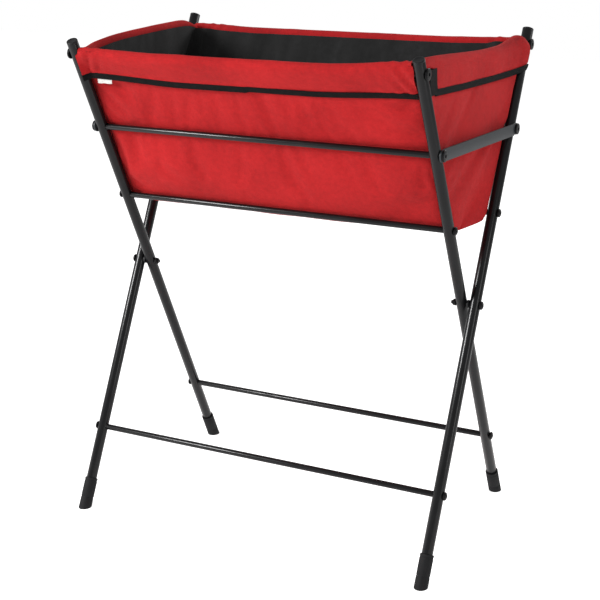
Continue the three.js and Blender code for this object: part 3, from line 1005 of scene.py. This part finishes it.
def end_crest(t, side):
    """Height of an end hem's crest; t runs from 0 at the front to 1 at the rear."""
    return float(curve([(z, 0) for z in END_CREST["right" if side > 0 else "left"]], t)[0])


def end_edge(t):
    return float(curve([(z, 0) for z in END_EDGE], t)[0])


def end_point(t, share, z, side):
    x, y = mix(curve(END_OUTER, t), curve(END_INNER, t), share)
    return np.array([side * x, y, z])


def end_hem_rows(side):
    """An end hem: a rolled crest over its whole length, and a flap that starts at MOUTH."""
    rows = []
    for s in range(HEM_STATIONS):
        row = []
        for c in range(HEM_COLUMNS):
            share, drop = curve(END_SECTION, c / (HEM_COLUMNS - 1))
            drop *= MM
            start = MOUTH * smooth((drop - 10 * MM) / (8 * MM)) if c < HEM_COLUMNS * 0.5 else 0
            t = mix(start, 1, s / (HEM_STATIONS - 1))
            crest = end_crest(t, side)
            if c < HEM_COLUMNS * 0.5:
                flap = (crest - end_edge(t)) / (END_SECTION[0][1] * MM)
                drop *= mix(flap, 1, smooth(c / (HEM_COLUMNS * 0.5)))
            point = end_point(t, share, crest - drop, side)
            lump = wobble((point[1], drop * 0.7, side), 0.05, 31.0)[0] * 1.1 * MM
            fine = wobble((point[1], drop * 0.4, side), 0.016, 37.0)[0] * 0.4 * MM
            push = (lump + fine) * (1 if c < HEM_COLUMNS * 0.5 else -0.4)
            row.append(point + np.array([side * push, 0, 0.3 * abs(push)]))
        rows.append(row)
    return rows


def end_tape_rows(side):
    tape = []
    for s in range(HEM_STATIONS):
        t = mix(MOUTH, 1, s / (HEM_STATIONS - 1))
        shares = ((0.02, -1.5), (0.04, 2.0), (0.08, 5.5), (0.14, 9.0))
        tape.append([end_point(t, share, end_edge(t) - drop * MM, side) for share, drop in shares])
    return tape


def make_hems():
    """Each hem with its binding, by the wall that it belongs to."""
    centre = np.array([0, 0, 0.7])
    groups, made = {}, {}
    for plane, name in ((INNER, "front"), (OUTER, "rear")):
        rows = long_hem_rows(plane)
        groups[name] = (rows, long_tape_rows(plane, rows))
    for side_name, side in SIDES.items():
        groups[side_name] = (end_hem_rows(side), end_tape_rows(side))
    for name, (rows, tape_rows) in groups.items():
        middle = sum(row[len(row) // 2] for row in rows) / len(rows)
        hem = hem_sheet(f"bag_{name}_sleeve", rows)
        facing_out(hem, middle - np.array([0, 0, 0.02]))
        thicken(hem, CLOTH_THICK, "lining")
        tape = hem_sheet(f"bag_{name}_binding", tape_rows, "tape")
        facing_out(tape, centre)
        thicken(tape, TAPE_THICK)
        for piece in (hem, tape):
            ride_fold(piece)
        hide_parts(f"bag_{name}_hem")
        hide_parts(f"bag_{name}_tape")
        made[name] = (hem, tape)
    return made


def make_facings_and_shade():
    """The dark inside of each end sleeve, seen beside the front legs: partly the sleeve's real black
    lining, partly painted shade, since the sheet takes the binding's darker black without sheen to
    stand for the shadow in the sleeve's mouth.
    """
    made = {}
    for side_name, side in SIDES.items():
        rows = []
        for s in range(SHADE_FACING_ROWS):
            f = s / (SHADE_FACING_ROWS - 1)
            x, y = side * mix(*SHADE_FACING_X, f), mix(*SHADE_FACING_Y, f)
            rows.append([
                np.array([x, y, mix(*SHADE_FACING_Z, c / (SHADE_FACING_COLUMNS - 1))])
                for c in range(SHADE_FACING_COLUMNS)])
        # the binding's near-black, sheenless look here is painted shade in the sleeve's mouth, darker
        # than its real lining
        piece = hem_sheet(f"bag_{side_name}_sleeve_facing", rows, "tape")
        thicken(piece, 1 * MM)
        ride_fold(piece)
        made[side_name] = piece
    return made


def make_tag():
    """A blank care tag sewn in under the front binding."""
    low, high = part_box("care_tag")
    x0, width, tall = float(low[0]), float(high[0] - low[0]), float(high[2] - low[2]) / INNER.up[2]
    top = long_crest(INNER, x0)[1] - TAPE_TALL + 3 * MM
    rows = []
    for s in range(15):
        x = x0 + width * s / 14
        ripple = 0.5 * MM * math.sin(3 * math.pi * s / 14)
        row = []
        for c in range(9):
            f = c / 8
            depth = 2.6 * MM - 1.8 * MM * math.sin(f * 1.9) - ripple * f
            row.append(INNER.at(x - 3 * MM * f, top - tall * f, depth))
        rows.append(row)
    tag = hem_sheet("care_tag_ribbon", rows, "tag")
    facing_out(tag, np.array([0, 0, 0.7]))
    thicken(tag, 0.4 * MM)
    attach(tag, "inner_frame")
    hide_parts("care_tag")
    return tag


def make_bag():
    shell, lining = make_shell()
    for node in ("bag_front_wall", "bag_rear_wall", "bag_left_end", "bag_right_end"):
        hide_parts(node)
    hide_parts("bag_floor")
    hems, facings_and_shade, tag = make_hems(), make_facings_and_shade(), make_tag()


# ---------------------------------------------------------------- camera, lights, floor

CAMERA = {"place": (1.0291, -1.9704, 1.0192), "turn": (73.71, 0.0, 27.50), "lens": 81.6}


def make_camera():
    data = bpy.data.cameras.new("camera")
    camera = bpy.data.objects.new("camera", data)
    bpy.context.scene.collection.objects.link(camera)
    data.sensor_width = 36
    data.lens = CAMERA["lens"]
    camera.location = CAMERA["place"]
    camera.rotation_euler = [math.radians(a) for a in CAMERA["turn"]]
    data.clip_start, data.clip_end = 0.05, 60
    bpy.context.scene.camera = camera


def area_light(name, place, target, size, power):
    data = bpy.data.lights.new(name, "AREA")
    data.shape = "RECTANGLE"
    data.size, data.size_y = size
    data.energy = power
    light = bpy.data.objects.new(name, data)
    bpy.context.scene.collection.objects.link(light)
    light.location = place
    light.rotation_euler = (Vector(target) - Vector(place)).to_track_quat("-Z", "Y").to_euler()


def by_ray(tree, otherwise, seen, target):
    """Gives a shader socket one value where the camera sees it directly, and another for light."""
    path = tree.nodes.new("ShaderNodeLightPath")
    value = tree.nodes.new("ShaderNodeMapRange")
    value.inputs["To Min"].default_value = otherwise
    value.inputs["To Max"].default_value = seen
    tree.links.new(path.outputs["Is Camera Ray"], value.inputs["Value"])
    tree.links.new(value.outputs["Result"], target)


def make_floor():
    half = 7
    corners = [(-half, -half, 0), (half, -half, 0), (half, half, 0), (-half, half, 0)]
    floor = mesh_object("studio_floor", corners, [(0, 1, 2, 3)], "tag")
    material = bpy.data.materials.new("pale_floor")
    material.use_nodes = True
    shader = material.node_tree.nodes["Principled BSDF"]
    shader.inputs["Base Color"].default_value = (0.93, 0.93, 0.93, 1)
    shader.inputs["Roughness"].default_value = 0.9
    shader.inputs["Emission Color"].default_value = (1, 1, 1, 1)
    by_ray(material.node_tree, 0.22, 0.70, shader.inputs["Emission Strength"])
    floor.data.materials[0] = material


def make_studio():
    world = bpy.data.worlds.new("studio")
    bpy.context.scene.world = world
    world.use_nodes = True
    background = world.node_tree.nodes["Background"]
    background.inputs["Color"].default_value = (1, 1, 1, 1)
    by_ray(world.node_tree, 0.42, 1.0, background.inputs["Strength"])
    make_floor()
    middle = (0, 0, 0.5)
    area_light("key", (-2.3, -2.3, 1.9), middle, (0.9, 0.9), 112)
    area_light("fill", (2.6, -1.0, 1.0), middle, (0.5, 1.8), 13.5)
    area_light("back", (1.4, 2.4, 2.0), middle, (1.2, 1.2), 35)
    bpy.context.scene.view_settings.view_transform = "Standard"


make_camera()
make_studio()
make_frame()
make_bag()
